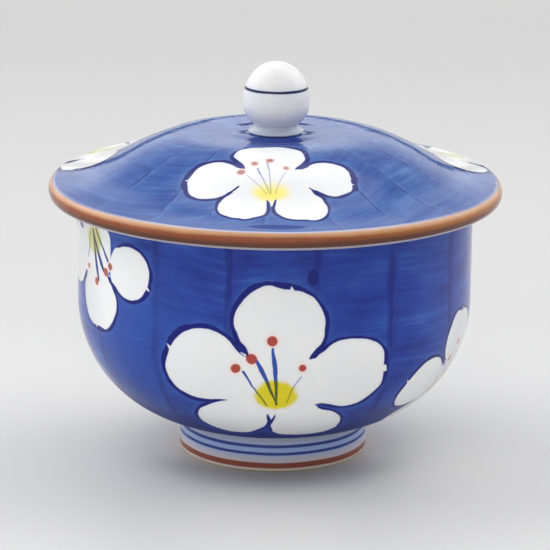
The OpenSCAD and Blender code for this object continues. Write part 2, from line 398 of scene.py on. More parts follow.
LID_BLOSSOM = blossom(
    "lid_blossom",
    petals=[
        (-1.3, -23.5, 91, [
            (-180, 14, -0.4), (-150, 10.5, -0.3), (-137, 8.2, 0.3), (-127, 7.3, 0.9), (-115, 7.4, 1.1), (-100, 7.7, 1.0),
            (-90, 7.8, 1.1), (-80, 7.8, 1.0), (-70, 7.9, 1.1), (-60, 8.1, 1.3), (-50, 8.1, 1.3), (-40, 8.0, 1.3),
            (-30, 8.1, 1.1), (-20, 8.1, 0.9), (-10, 7.9, 0.8), (0, 7.6, 0.7), (10, 7.5, 0.7), (20, 7.7, 0.7),
            (30, 8.0, 0.7), (40, 8.0, 0.7), (55, 8.2, 0.5), (70, 8.1, 0.7), (80, 8.0, 0.9), (90, 7.4, 1.1),
            (100, 6.9, 1.2), (110, 6.6, 1.2), (120, 6.6, 1.0), (130, 7.4, 0.4), (150, 10.5, -0.3), (180, 14, -0.4)]),
        (-14, -31, 157, [
            (-180, 14, -0.4), (-150, 10, -0.3), (-135, 7.4, 0.2), (-124, 6.4, 0.8), (-110, 6.4, 1.0), (-100, 6.5, 1.0),
            (-90, 6.7, 0.9), (-70, 6.7, 0.8), (-60, 6.6, 1.0), (-50, 6.6, 1.2), (-40, 6.5, 1.3), (-30, 6.3, 1.2),
            (-20, 6.1, 1.4), (-10, 6.0, 1.5), (0, 6.0, 1.3), (10, 6.0, 1.4), (20, 5.9, 1.6), (30, 5.9, 1.3),
            (40, 6.2, 1.0), (60, 6.4, 0.9), (80, 6.4, 0.7), (100, 6.2, 0.7), (115, 6.2, 0.7), (130, 6.1, 0.7),
            (140, 6.0, 0.6), (150, 6.0, 0.4), (158, 8, -0.3), (168, 11, -0.4), (180, 14, -0.4)]),
        (12, -31, 23, [
            (-180, 14, -0.4), (-165, 10, -0.4), (-156, 6.5, -0.1), (-148, 5.0, 0.5), (-130, 4.9, 0.7), (-120, 5.1, 0.7),
            (-100, 5.4, 0.6), (-80, 5.3, 0.8), (-60, 5.4, 0.7), (-50, 5.6, 0.5), (-40, 5.6, 0.9), (-30, 5.4, 1.4),
            (-20, 5.2, 1.3), (-10, 5.1, 1.5), (0, 5.4, 1.5), (10, 5.6, 1.4), (20, 6.0, 1.3), (30, 6.2, 1.2),
            (40, 6.5, 1.1), (60, 6.4, 0.9), (80, 6.5, 0.8), (100, 6.4, 0.8), (110, 6.2, 1.0), (120, 6.1, 1.0),
            (130, 6.4, 0.8), (138, 7.6, 0.2), (150, 10, -0.3), (180, 14, -0.4)]),
        (-6.5, -41, 219, [
            (-180, 8, -0.4), (-150, 7.4, -0.4), (-125, 6.6, -0.3), (-112, 6.2, 0.4), (-100, 5.9, 0.7), (-90, 5.7, 0.9),
            (-80, 5.9, 1.0), (-70, 6.1, 1.0), (-60, 6.3, 0.9), (-50, 6.5, 0.7), (-40, 6.5, 0.6), (-20, 6.3, 0.6),
            (-10, 5.9, 0.6), (0, 5.6, 0.6), (20, 5.3, 0.5), (30, 5.0, 0.6), (50, 5.2, 0.6), (70, 4.8, 0.6),
            (90, 5.0, 0.7), (100, 5.2, 0.75), (110, 5.1, 0.8), (120, 4.9, 0.8), (130, 4.7, 0.75), (145, 4.6, 0.5),
            (155, 5.2, 0.0), (165, 6.6, -0.4), (180, 8, -0.4)]),
        (5.8, -41, 326, [
            (-180, 8, -0.4), (-165, 6.8, -0.4), (-155, 5.8, 0.1), (-145, 5.8, 0.6), (-130, 5.9, 0.75), (-120, 6.0, 0.8),
            (-110, 5.9, 0.75), (-90, 5.7, 0.7), (-70, 5.4, 0.55), (-50, 5.2, 0.5), (-40, 5.3, 0.6), (-30, 5.8, 0.6),
            (-20, 6.2, 0.6), (0, 6.4, 0.6), (10, 6.3, 0.5), (30, 6.2, 0.5), (40, 6.1, 0.6), (60, 5.7, 0.7),
            (70, 5.7, 0.8), (80, 5.5, 0.8), (90, 5.4, 0.6), (100, 5.9, 0.2), (115, 7, -0.4), (150, 8, -0.4),
            (180, 8, -0.4)]),
    ],
    spikes=[(-19.3, -29.2, -20.3, -28.95, 0.8, 0.2, 0.0), (16.8, -30.9, 17.7, -30.85, 0.6, 0.2, 0.0),
            (-0.7, -38.6, -0.75, -41.3, 1.8, 0.3, 0.0)],
    eye=(-1.0, -36.3, 4.1, 3.5),
    stamens=[
        (-6.4, -30.8, -2.0, -37.3, 0.24, 0.2, 0.2, 0.5),
        (-4.05, -28.3, -3.3, -30.7, 0.4, 0.34, 0.0, 0.8),
        (-3.3, -30.7, -1.3, -37.2, 0.34, 0.22, 0.1, 0.6),
        (-1.85, -26.1, -1.35, -29.0, 0.36, 0.3, -0.05, 0.75),
        (-1.35, -29.0, -0.95, -37.2, 0.3, 0.22, 0.0, 0.55),
        (2.25, -29.7, 0.0, -37.3, 0.24, 0.2, -0.2, 0.45),
    ],
    anthers=[(-7.7, -29.4, 0.95), (-4.7, -26.3, 0.8), (-1.3, -25.1, 0.9), (2.4, -28.2, 0.68)],
    strokes=[
        (-11.2, -36.9, -8.3, -34.4, 0.55, 0.6, 0.0),
        (9.3, -36.0, 7.6, -34.6, 0.9, 0.3, 0.0),
        (-1.8, -39.5, -1.5, -41.6, 0.45, 0.6, 0.0),
        (0.15, -39.3, -0.2, -41.5, 0.45, 0.65, 0.0),
    ],
    tip_soft=0.4,
    eye_soft=0.36,
    bold=(5.5, 0.75),
)


# ---------------------------------------------------------------- glazes

WHITE = linear(240, 239, 238)
WHITE_COOL = linear(230, 232, 236)
COBALT = linear(38, 66, 158)
COBALT_DEEP = linear(29, 48, 136)
COBALT_PALE = linear(58, 100, 184)
COBALT_VIOLET = linear(42, 55, 150)
WASH = linear(53, 90, 160)
WASH_DEEP = linear(40, 72, 148)
WASH_PALE = linear(88, 125, 186)
INK = linear(11, 17, 108)
INK_PALE = linear(20, 30, 126)
IRON = linear(147, 79, 50)
IRON_TAN = linear(168, 108, 62)
IRON_DARK = linear(96, 61, 48)
IRON_PALE = linear(203, 150, 110)
YELLOW = linear(237, 222, 42)
YELLOW_DEEP = linear(227, 208, 32)
STRAW = linear(250, 239, 132)
STRAW_DEEP = linear(243, 228, 92)
RED = linear(186, 64, 48)
PINK = linear(255, 222, 214)
ROD = linear(48, 84, 172)
ROD_OVER_YELLOW = linear(84, 98, 44)


def place(net):
    """Object coordinates in mm: x, y, z, distance from the axis, and angle from the front, right positive."""
    tex = net.node("ShaderNodeTexCoord")
    x, y, z = (p * 1000.0 for p in net.parts(Val(net, tex.outputs["Object"])))
    r = net.length(x, y)
    az = net.math("ARCTAN2", x, -y)
    return x, y, z, r, az


def gloss(net, shader, x, y, z, rough=0.075, swing=0.05, dents=0.04, dull=None, ridge=None):
    """A fired glaze: nearly even gloss, a faint orange peel and slow waves in the surface; dull is where the glaze is
    thin and less glossy, ridge the height in mm of glaze that has run together."""
    p = net.vec(x, y, z)
    patch = net.noise(p, 0.09, 3.0, 0.6)
    shader.inputs["IOR"].default_value = 1.5
    shader.inputs["Specular IOR Level"].default_value = 0.22
    rough = net.madd(patch - 0.5, swing, rough)
    if dull is not None:
        rough = net.madd(dull, 0.4, rough)
    net.put(shader.inputs["Roughness"], rough)
    peel = net.noise(p, 0.55, 2.0, 0.5)
    slow = net.noise(p, 0.07, 1.0, 0.4)
    height = net.madd(slow, 6.0, peel)
    if ridge is not None:
        height = net.madd(ridge, 1 / dents, height)
    bump = net.node("ShaderNodeBump")
    bump.inputs["Strength"].default_value = 1.0
    bump.inputs["Distance"].default_value = dents * MM
    net.put(bump.inputs["Height"], height)
    net.tree.links.new(bump.outputs[0], shader.inputs["Normal"])
    return height, bump


def nearest(net, best, u, v, seed):
    """Of two blossoms' places (u, v, seed), the one whose heart is nearer."""
    d = net.length(u, v)
    if best is None:
        return u, v, seed, d
    pick = net.math("LESS_THAN", d, best[3])
    return (*(net.madd(pick, new - old, old) for new, old in zip((u, v, seed), best)), net.low(d, best[3]))


def paint(net, ground, pale, f, p, red, tip_strength, hearts, heart_strength, whites, inks=(INK, INK_PALE), rod=ROD):
    """Blossoms over a ground colour."""
    c = net.mix(f["Halo"] * 0.28, ground, pale)
    c = net.mix(f["Line"], c, net.mix(net.noise(p, 0.35, 2.0, 0.6), *inks))
    white = net.mix(net.noise(p, 0.12, 3.0, 0.6), *whites)
    white = net.mix(f["Edge"] * 0.3, white, linear(208, 218, 240))
    c = net.mix(f["White"], c, white)
    c = net.mix(f["Tone"] * f["White"] * 0.55, c, PINK)
    yellow = f["Yellow"] * f["White"]
    c = net.mix(yellow * heart_strength, c, net.mix(net.noise(p, 0.7, 2.0), *hearts))
    c = net.mix(f["Stamen"], c, net.mix(yellow, rod, ROD_OVER_YELLOW))
    return net.mix(f["Anther"] * tip_strength, c, red)


def lanes(net, az, count, shift):
    """Upright lanes of a brushed ground: number of the lane, place across it 0 to 1, number of the nearer seam,
    and distance from that seam as a share of the lane."""
    q = net.madd(az, count / TAU, shift)
    lane = net.math("FLOOR", q)
    across = q - lane
    return lane, across, net.math("FLOOR", q + 0.5), 0.5 - net.math("ABSOLUTE", across - 0.5)


def swing(net, az, points):
    """An angle in radians that varies with az; points are (az, angle) in degrees."""
    c = net.curve(net.madd(az, 1 / TAU, 0.5), [(a / 360 + 0.5, b / 20 + 0.5) for a, b in points])
    return net.madd(c, math.radians(20), -math.radians(10))


def cup_material():
    m, net, shader = new_material("cup_glaze_painted")
    x, y, z, r, az = place(net)
    p = net.vec(x, y, z)
    below = (36.1 - z) / 28.0
    s = net.madd(net.math("ARCSINE", net.unit(below)), 28.0, net.low(36.1 - z, 0.0))
    # brushed ground: lanes of fine level streaks, broader clouds, dark upright seams where two lanes overlap
    drift = swing(net, az, [
        (-180, 0), (-150, 1.2), (-110, -1), (-75, 0.5), (-55, -0.4), (-35, -0.9), (-13, 0.8), (12, 0), (34, 1.8),
        (60, 0), (85, -1), (110, 1), (140, -1.2), (180, 0)])
    wob = net.noise(net.vec(net.math("COSINE", az) * 2.0, net.math("SINE", az) * 2.0, s * 0.07), 1.0, 2.0)
    lane, across, seam, off = lanes(net, az + drift + (wob - 0.5) * 0.045, 15, 0.5)
    off = off * 19.0
    lean = net.math("SINE", net.madd(lane, 2.3, 1.0)) * (across - 0.5)
    level = net.madd(lean, 2.4, s)
    streak = net.noise(net.vec(net.madd(across, 1.1, lane * 5.3), level * 0.85, lane * 3.7), 1.0, 4.0, 0.62)
    wide = net.noise(net.vec(net.madd(across, 1.6, lane * 2.9), level * 0.16, lane * 1.9 + 4.0), 1.0, 2.0, 0.5)
    tone = net.madd(streak - 0.5, 1.5, net.madd(wide - 0.5, 1.5, 0.46))
    ground = net.mix(net.rise(0.0, 0.5, tone), COBALT_DEEP, COBALT)
    ground = net.mix(net.rise(0.45, 1.15, tone) * 0.85, ground, COBALT_PALE)
    load = net.noise(net.vec(seam * 7.3, s * 0.075, 2.0), 1.0, 2.0)
    wash = net.fall(1.4, 3.0, off) * net.rise(0.30, 0.55, load) * net.math("LESS_THAN", across, 0.5)
    ground = net.mix(wash * 0.5, ground, COBALT_VIOLET)
    thick = net.madd(net.noise(net.vec(seam * 3.1, s * 0.16, 5.0), 1.0, 2.0), 1.6, 0.1)
    dark = net.fall(thick * 0.55, thick * 1.35, off) * net.rise(0.26, 0.50, load)
    blob = net.fall(0.7, 1.15, net.length((az - 0.187) * 33.0, (s + 16.0) / 2.2))
    ground = net.mix(net.high(dark * 0.58, blob * 0.95), ground, linear(18, 28, 116))
    # painted light and shade: paler on the left, where more light falls, and darker low on the belly, which faces down
    # into shade
    ground = net.mix(net.fall(0.25, 0.6, net.length(az + 0.85, s * 0.02)) * 0.3, ground, COBALT_PALE)
    ground = net.mix(net.rise(12.0, 28.0, s) * 0.8, ground, linear(15, 30, 108))

    # each point takes its pattern from the nearest blossom: heart at (0.8, -11.2), turned and shrunk about that
    near = None
    for deg, sv, turn, size, seed in (
        (1.0, 11.2, 0.0, 1.0, 0.0),
        (-62.9, -17.8, 190.4, 0.784, 1.0),
        (70.3, 17.9, 4.0, 0.765, 2.0),
        (146.0, -14.0, 172.0, 0.88, 3.0),
        (-136.0, 11.0, -10.0, 0.95, 4.0),
    ):
        da = net.math("WRAP", az - math.radians(deg), math.pi, -math.pi)
        du, dv = da * r, sv - s
        a = math.radians(turn)
        cu, su = math.cos(a) / size, math.sin(a) / size
        u, v = net.madd(du, cu, dv * su), net.madd(dv, cu, du * -su)
        near = nearest(net, near, u, v, seed)
    f = net.group(CUP_BLOSSOM, U=near[0] + 0.8, V=near[1] - 11.2, Seed=near[2])
    red = net.mix(net.noise(p, 1.4, 1.0), RED, linear(168, 52, 40))
    left = net.fall(-0.85, -0.65, az) * net.rise(-1.6, -1.4, az)
    hearts = [net.mix(left, a, b) for a, b in ((YELLOW, linear(206, 202, 96)), (YELLOW_DEEP, linear(192, 188, 78)))]
    # painted shade: the white is painted a little darker at the sides and low on the belly
    thin = net.high(net.rise(0.9, 1.25, net.math("ABSOLUTE", az)), net.rise(16.0, 28.0, s) * 0.95)
    whites = [net.mix(thin, linear(*a), linear(*b)) for a, b in (((250, 249, 247), (224, 223, 222)), ((241, 243, 246), (217, 219, 222)))]
    red = net.mix(left, red, linear(166, 90, 72))
    c = paint(net, ground, COBALT_PALE, f, p, red, 0.96, hearts, 1.0, whites, rod=net.mix(left, ROD, linear(38, 62, 126)))
    # iron-brown lip
    lip = net.rise(60.75, 61.15, z + (net.noise(p, 0.3, 2.0) - 0.5) * 0.5)
    iron = net.mix(net.noise(p, 0.5, 3.0, 0.6), IRON_DARK, IRON_PALE)
    c = net.mix(net.rise(60.1, 60.4, z), c, WHITE)
    c = net.mix(lip, c, iron)
    net.put(shader.inputs["Base Color"], c)
    gloss(net, shader, x, y, z, dull=net.rise(10.0, 30.0, s))
    return m


def lid_material():
    m, net, shader = new_material("lid_glaze_painted")
    x, y, z, r, az = place(net)
    p = net.vec(x, y, z)
    # distance from the axis along the surface
    dome = 40.0 * net.math("ARCSINE", net.unit((net.low(r, 35.2) - 14.0) / 40.0))
    brim = 36.0 * (0.5586 - net.math("ARCSINE", (54.28 - net.high(r, 35.2)) / 36.0))
    rho = net.low(r, 14.0) + dome + brim
    # brushed ground: slanting streaks in lanes, fine seams with a light edge
    drift = swing(net, az, [
        (-180, 0), (-140, 1.5), (-100, -1.5), (-75, 0), (-54, -1.4), (-34, -4.3), (-12, -1), (8, 0), (30, 0.5),
        (46, 1.4), (65, -1), (90, 0), (120, -2), (150, 1.5), (180, 0)])
    curl = net.rise(-0.2, 0.35, az) * (rho - 37.0) * -math.radians(0.25)
    wob = net.noise(net.vec(net.math("COSINE", az) * 2.0, net.math("SINE", az) * 2.0, rho * 0.08), 1.0, 2.0)
    lane, across, seam, off = lanes(net, az + drift + curl + (wob - 0.5) * 0.085, 21, -0.765)
    off = off * r * (TAU / 21)
    slant = net.madd(net.math("SINE", net.madd(lane, 1.7, 0.6)), 2.0, 3.0)
    level = net.madd(across, slant, rho)
    streak = net.noise(net.vec(net.madd(across, 0.8, lane * 5.3), level * 0.6, lane * 3.7), 1.0, 4.0, 0.6)
    wide = net.noise(net.vec(net.madd(across, 1.2, lane * 2.9), level * 0.14, lane * 1.9 + 4.0), 1.0, 2.0, 0.5)
    tone = net.madd(streak - 0.5, 1.8, net.madd(wide - 0.5, 1.5, 0.46))
    ground = net.mix(net.rise(0.0, 0.5, tone), WASH_DEEP, WASH)
    ground = net.mix(net.rise(0.45, 1.15, tone) * 0.85, ground, WASH_PALE)
    load = net.noise(net.vec(seam * 7.3, rho * 0.10, 2.0), 1.0, 2.0)
    held = net.rise(0.34, 0.52, load) * net.rise(20.0, 25.0, rho)
    left = net.math("LESS_THAN", across, 0.5)
    glow = net.rise(0.15, 0.45, off) * net.fall(0.6, 1.5, off) * held * left
    ground = net.mix(glow * 0.35, ground, WASH_PALE)
    worn = net.rise(0.30, 0.62, net.noise(net.vec(seam * 4.1, rho * 0.35, 8.0), 1.0, 3.0, 0.6))
    hair = net.fall(0.10, 0.50, off) * held * worn
    ground = net.mix(hair * 0.8, ground, linear(22, 36, 122))
    # painted reflection of the bright backdrop: paler and greyer towards the brim in front, broken by the brush
    # streaks, and paler on the slope at the sides; darker blue near the edge at the sides, and one dark stroke on the
    # brim in front
    front = net.fall(0.45, 1.0, net.math("ABSOLUTE", az))
    ground = net.mix(net.rise(44.0, 50.5, rho) * net.madd(streak, 0.8, 0.1) * front, ground, linear(112, 132, 184))
    ground = net.mix(net.rise(40.5, 44.5, rho) * net.fall(46.0, 49.0, rho) * (1.0 - front) * 0.38, ground, linear(112, 132, 184))
    ground = net.mix(net.rise(47.5, 50.5, rho) * (1.0 - front) * 0.3, ground, linear(38, 66, 146))
    stroke = net.fall(0.7, 1.05, net.length((az - 0.012) / 0.15, (rho - 50.1 + (wob - 0.5) * 0.8) / 1.35))
    ground = net.mix(stroke * 0.9, ground, linear(26, 56, 136))
    # deep blue close round the knob: in front of it a painted dark reflection of the knob's shaded underside, behind it
    # a broken ring
    painted_knob_reflection = net.fall(0.8, 1.0, net.length(x / 7.4, (y + 9.6) / 6.4)) * net.rise(0.1, 0.5, net.noise(net.vec(x * 0.12, y * 0.6, 1.0), 1.0, 2.0))
    behind = net.fall(0.6, 1.3, net.math("ABSOLUTE", net.madd(x, -0.045, r - 10.7))) * net.rise(2.15, 2.35, net.math("ABSOLUTE", az))
    ground = net.mix(painted_knob_reflection * 0.95, ground, linear(12, 38, 126))
    ground = net.mix(behind, ground, linear(22, 38, 130))

    # heart of the blossom at (-1, -36.7) from the axis, the two at the sides further out
    near = None
    for deg, shift, out, size, seed in (
        (0.0, -1.0, 0.0, 1.0, 5.0),
        (-121.0, 0.0, 14.1, 1.2, 6.0),
        (119.4, 0.0, 13.3, 1.0, 7.0),
    ):
        a = net.math("WRAP", az - math.radians(deg), math.pi, -math.pi)
        u = (rho * net.math("SINE", a) - shift) / size
        v = ((36.7 + out) - rho * net.math("COSINE", a)) / size
        near = nearest(net, near, u, v, seed)
    f = net.group(LID_BLOSSOM, U=near[0] - 1.0, V=near[1] - 36.7, Seed=near[2])
    red = net.mix(net.noise(p, 1.4, 1.0), linear(172, 104, 92), linear(152, 86, 74))
    side = net.rise(0.9, 1.3, net.math("ABSOLUTE", az))
    hearts = [net.mix(side, a, b) for a, b in ((STRAW, linear(214, 212, 138)), (STRAW_DEEP, linear(202, 200, 116)))]
    c = paint(net, ground, WASH_PALE, f, p, red, 0.85, hearts, 0.92, (linear(240, 239, 238), linear(231, 233, 237)),
              (linear(4, 16, 98), linear(12, 28, 118)))
    # the rolled edge: white line, iron-brown band, tanner on the right, with painted shade darkening its lower part and
    # a painted highlight along its top, then a grey line of painted shade where the white underside begins
    waver = (net.noise(p, 0.12, 2.0) - 0.5) * 0.3
    rr = r + waver
    c = net.mix(net.rise(50.3, 50.7, rr) * net.madd(front, 0.25, 0.3), c, linear(232, 222, 222))
    band = net.rise(50.85, 51.25, rr)
    # height on the band with a wavering edge; it grades the painted shade and the painted highlight
    shade_height = net.madd(net.noise(p, 0.25, 3.0, 0.6) - 0.5, 0.45, z)
    right = net.rise(0.1, 0.9, az)
    # painted shade: the lower part of the band is dark, a little lighter at the sides
    shade = net.mix(net.rise(0.8, 1.4, net.math("ABSOLUTE", az)) * 0.4, IRON_DARK, IRON)
    iron = net.mix(net.rise(61.0, 62.3, net.madd(net.rise(-0.15, 0.3, az), -0.18, shade_height)), shade, net.mix(right, IRON, IRON_TAN))
    shade_height = net.madd(net.fall(0.05, 0.4, net.math("ABSOLUTE", az)), -0.22, shade_height)
    # painted highlight along the top of the band
    iron = net.mix(net.rise(62.3, 63.1, shade_height), iron, IRON_PALE)
    iron = net.mix(net.rise(63.05, 63.75, shade_height) * 0.8, iron, linear(214, 188, 166))
    c = net.mix(band, c, iron)
    # painted shade: the white glaze at the bottom of the edge is painted grey
    c = net.mix(net.fall(60.3, 60.6, z + waver * 0.4), c, linear(172, 166, 176))
    # below, the edge runs out into the white underside
    c = net.mix(net.fall(49.3, 50.0, r) * net.fall(62.0, 62.4, z), c, linear(216, 215, 218))
    net.put(shader.inputs["Base Color"], c)
    turn = net.math("ABSOLUTE", az)
    ridge = net.fall(5.5, 12.0, r) * net.fall(0.4, 2.2, turn) * 0.75 + net.fall(9.2, 12.4, r) * net.rise(1.6, 2.5, turn) * 0.16
    gloss(net, shader, x, y, z, ridge=ridge)
    return m


def white_material(name, cool=0.4):
    m, net, shader = new_material(name)
    x, y, z, r, az = place(net)
    p = net.vec(x, y, z)
    patch = net.noise(p, 0.1, 3.0, 0.6)
    c = net.mix(patch * cool, WHITE, WHITE_COOL)
    # a few iron specks, as fired porcelain has
    speck = net.fall(0.165, 0.205, net.noise(p, 0.42, 0.0))
    c = net.mix(speck * 0.10, c, linear(120, 100, 84))
    net.put(shader.inputs["Base Color"], c)
    gloss(net, shader, x, y, z)
    return m


def foot_material():
    m, net, shader = new_material("foot_glaze_lined")
    x, y, z, r, az = place(net)
    p = net.vec(x, y, z)
    waver = (net.noise(net.vec(x, y, 0.0), 0.08, 2.0) - 0.5) * 0.3
    zz = z + waver
    # the white glaze is painted darker and bluer all over: partly a pale-blue tint, partly painted shade under the
    # belly
    body = net.mix(net.noise(p, 0.12, 3.0, 0.6), linear(176, 188, 213), linear(186, 196, 219))
    outside = net.rise(20.6, 20.9, r)
    # painted shade: greyer at the top of the foot, just under the belly
    body = net.mix(net.rise(6.2, 7.4, z) * 0.6, body, linear(150, 160, 178))
    # a thin blue wash between the two rules
    tint = net.rise(3.4, 4.2, zz) * net.fall(6.0, 6.8, zz) * outside
    body = net.mix(tint * 0.8, body, linear(150, 176, 230))
    thin = net.noise(p, 0.3, 2.0)
    for zc, wide in ((5.94, 0.36), (4.24, 0.33)):
        half = net.madd(thin - 0.5, 0.14, wide)
        rule = net.fall(half - 0.12, half + 0.12, net.math("ABSOLUTE", zz - zc)) * outside
        body = net.mix(rule * 0.95, body, net.mix(thin, INK, COBALT))
    body = net.mix(net.fall(0.8, 2.4, net.math("ABSOLUTE", zz - 1.5)) * outside * 0.5, body, linear(224, 198, 188))
    red = net.fall(0.55, 0.75, net.math("ABSOLUTE", zz - 1.5)) * outside
    body = net.mix(red * 0.95, body, net.mix(thin, linear(124, 55, 32), linear(152, 77, 49)))
    bare = net.fall(0.55, 0.8, z)
    body = net.mix(bare, body, net.mix(net.noise(p, 1.2, 3.0), linear(206, 188, 160), linear(222, 206, 182)))
    net.put(shader.inputs["Base Color"], body)
    gloss(net, shader, x, y, z)
    return m


def knob_material():
    m, net, shader = new_material("knob_glaze_lined")
    x, y, z, r, az = place(net)
    p = net.vec(x, y, z)
    body = net.mix(net.noise(p, 0.12, 3.0, 0.6) * 0.5, WHITE, WHITE_COOL)
    # painted shade: the glaze is painted a little greyer on the right, where less light falls, and darker and bluer in
    # the neck, under the bulb
    body = net.mix(net.rise(0.2, 1.0, az) * net.fall(82.5, 85.0, z) * 0.9, body, linear(225, 225, 228))
    body = net.mix(net.fall(75.6, 77.4, z) * 0.85, body, linear(184, 195, 211))
    waver = (net.noise(net.vec(x, y, 0.0), 0.12, 2.0) - 0.5) * 0.25
    thin = net.noise(p, 0.35, 2.0)
    half = net.madd(thin - 0.5, 0.10, 0.30)
    away = net.math("ABSOLUTE", z + waver - 85.05)
    rule = net.fall(half - 0.1, half + 0.1, away)
    body = net.mix(net.fall(0.3, 1.3, away) * 0.3, body, linear(196, 210, 238))
    body = net.mix(rule * 0.97, body, net.mix(thin, linear(6, 10, 58), linear(16, 26, 92)))
    net.put(shader.inputs["Base Color"], body)
    gloss(net, shader, x, y, z)
    return m


# ---------------------------------------------------------------- turned shapes


def arc(cr, cz, rad, a0, a1, n):
    """n + 1 points on an arc; angles in degrees from straight up, clockwise."""
    out = []
    for i in range(n + 1):
        a = math.radians(a0 + (a1 - a0) * i / n)
        out.append((cr + rad * math.sin(a), cz + rad * math.cos(a)))
    return out


def line(r0, z0, r1, z1, n):
    return [(r0 + (r1 - r0) * i / n, z0 + (z1 - z0) * i / n) for i in range(n + 1)]


def lathe(name, strips, seg, uv, loop=False):
    """A closed body of revolution. strips are (material number, points as (r, z) in mm), each starting where
    the last one ended. uv(strip, turn 0 to 1 from the back, distance along the strip in mm) places it on the map."""
    pts, owner, dist = [], [], []
    for k, (mat, strip) in enumerate(strips):
        d = 0.0
        for i, (r, z) in enumerate(strip):
            if i:
                d += math.dist(strip[i - 1], strip[i])
            if i == 0 and pts:
                continue
            pts.append((r, z))
        owner += [k] * (len(strip) - 1)
        run = [0.0]
        for i in range(1, len(strip)):
            run.append(run[-1] + math.dist(strip[i - 1], strip[i]))
        dist += list(zip(run[:-1], run[1:]))
    if loop:
        pts.pop()
    verts, first = [], []
    for r, z in pts:
        first.append(len(verts))
        if r < 1e-6:
            verts.append((0.0, 0.0, z * MM))
            continue
        for j in range(seg):
            # from the back, round by the right-hand side as the front sees it
            a = TAU * j / seg + math.pi / 2
            verts.append((r * math.cos(a) * MM, r * math.sin(a) * MM, z * MM))
    faces, mats, maps = [], [], []
    n = len(pts)
    for i in range(len(owner)):
        a, b = i, (i + 1) % n
        pole_a, pole_b = pts[a][0] < 1e-6, pts[b][0] < 1e-6
        k = owner[i]
        d0, d1 = dist[i]
        for j in range(seg):
            j1 = (j + 1) % seg
            t0, t1 = j / seg, (j + 1) / seg
            if pole_a:
                face = [first[a], first[b] + j1, first[b] + j]
                where = [((t0 + t1) / 2, d0), (t1, d1), (t0, d1)]
            elif pole_b:
                face = [first[a] + j, first[a] + j1, first[b]]
                where = [(t0, d0), (t1, d0), ((t0 + t1) / 2, d1)]
            else:
                face = [first[a] + j, first[a] + j1, first[b] + j1, first[b] + j]
                where = [(t0, d0), (t1, d0), (t1, d1), (t0, d1)]
            faces.append(face)
            mats.append(strips[k][0])
            mid = (t0 + t1) / 2
            maps += [uv(k, t, d, mid) for t, d in where]
    me = bpy.data.meshes.new(name)
    me.from_pydata(verts, [], faces)
    layer = me.uv_layers.new(name="OFBake")
    layer.data.foreach_set("uv", [c for p in maps for c in p])
    me.polygons.foreach_set("material_index", mats)
    me.polygons.foreach_set("use_smooth", [True] * len(faces))
    me.update()
    ob = bpy.data.objects.new(name, me)
    bpy.context.scene.collection.objects.link(ob)
    return ob


def length(points):
    return sum(math.dist(a, b) for a, b in zip(points, points[1:]))


def disc(cx, cy, scale, d, t):
    a = TAU * t
    return (cx + scale * d * math.sin(a), cy + scale * d * math.cos(a))


def make_cup():
    base = line(0, 8.1, 17.4, 8.1, 6)
    belly = arc(17.4, 36.1, 28, 180, 90, 64)
    wall = line(45.4, 36.1, 45.4, 60.7, 34)
    lip = arc(44.3, 60.7, 1.1, 90, -90, 14)
    inner = line(43.2, 60.7, 42.8, 36.6, 24)
    hollow = arc(17.8, 36.6, 25, 90, 180, 44)
    floor = line(17.8, 11.6, 0, 11.6, 6)
    strips = [(1, base), (0, belly), (0, wall), (0, lip), (1, inner), (1, hollow), (1, floor)]
    n_belly, n_wall, n_lip = length(belly), length(wall), length(lip)
    total = n_belly + n_wall + n_lip
    n_in, n_hollow = length(inner), length(hollow)

    def uv(k, t, d, mid):
        if k in (1, 2, 3):
            d += (0, n_belly, n_belly + n_wall)[k - 1]
            front = 0.25 <= mid < 0.75
            w = (t - 0.25) * 2 if front else ((t + 0.25) if mid < 0.25 else (t - 0.75)) * 2
            return (0.01 + 0.86 * w, (0.005 if front else 0.44) + 0.425 * d / total)
        if k in (4, 5):
            d += 0 if k == 4 else n_in
            return (0.01 + 0.86 * t, 0.995 - 0.115 * d / (n_in + n_hollow))
        if k == 0:
            return disc(0.94, 0.7, 0.052 / 17.4, d, t)
        return disc(0.94, 0.5, 0.052 / 17.8, 17.8 - d, t)

    ob = lathe("cup_body_glazed", strips, 288, uv)
    ob.data.materials.append(cup_material())
    ob.data.materials.append(white_material("inside_glaze"))
    return ob


def make_foot():
    seat = [(r, 36.1 - math.sqrt(28**2 - (r - 17.4) ** 2)) for r in (18.4, 19.0, 19.6, 20.2, 20.8, 21.4, 21.75)]
    seat = [(r, z + 0.02) for r, z in seat]
    out = []
    # a small fillet of glaze runs up to the bowl, then the wall widens towards the bare edge
    for i in range(9):
        a = math.radians(90 * i / 8)
        out.append((21.75 - 0.6 * math.sin(a), seat[-1][1] - 0.02 - 0.6 * (1 - math.cos(a))))
    r0, top = out[-1]
    for i in range(1, 25):
        t = i / 24
        z = top + (0.55 - top) * t
        out.append((r0 + (21.8 - r0) * min(1.0, t * 1.3) + 0.1 * math.sin(math.pi * t) ** 2, z))
    bottom = arc(21.25, 0.55, 0.55, 90, 180, 10)[1:] + line(21.25, 0, 20.0, 0, 3)[1:] + arc(20.0, 1.0, 1.0, 180, 270, 10)[1:]
    inside = line(19.0, 1.0, 18.4, seat[0][1], 10)[1:]
    profile = seat + out[1:] + bottom + inside
    profile = profile[::-1]
    profile.append(profile[0])
    total = length(profile)

    def uv(k, t, d, mid):
        return (0.01 + 0.98 * t, 0.02 + 0.96 * d / total)

    ob = lathe("foot_ring_glazed", [(0, profile)], 192, uv, loop=True)
    ob.data.materials.append(foot_material())
    return ob


